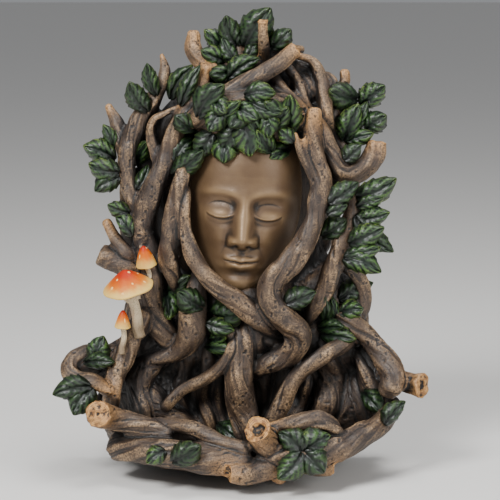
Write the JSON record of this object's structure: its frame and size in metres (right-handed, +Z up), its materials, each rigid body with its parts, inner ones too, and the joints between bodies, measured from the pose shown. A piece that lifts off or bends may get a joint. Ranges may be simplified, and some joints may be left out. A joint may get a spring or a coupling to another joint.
{
  "type": "wall plaque",
  "caption": "Wall plaque of a calm face in a tree trunk, crowned with branches and leaves, above a shallow dish of roots and sawn logs, with toadstools on its left side.",
  "frame": {"origin": "on the flat back, on the midline of the carving, a little above the middle of the face's height", "axes": "+X to the right of a person who looks at the plaque, +Y into the wall, +Z up"},
  "size_m": [0.2384, 0.1099, 0.2993],
  "materials": {
    "casting": "matt painted resin: brown wood with lighter ridges, green leaves, bronze-brown face",
    "toadstools": "matt painted resin: orange-red caps that fade to cream at the rim, cream stems"
  },
  "bodies": {
    "root": {"plaque": "casting", "toadstool_large": "toadstools", "toadstool_upper": "toadstools", "toadstool_small": "toadstools"}
  },
  "joints": []
}
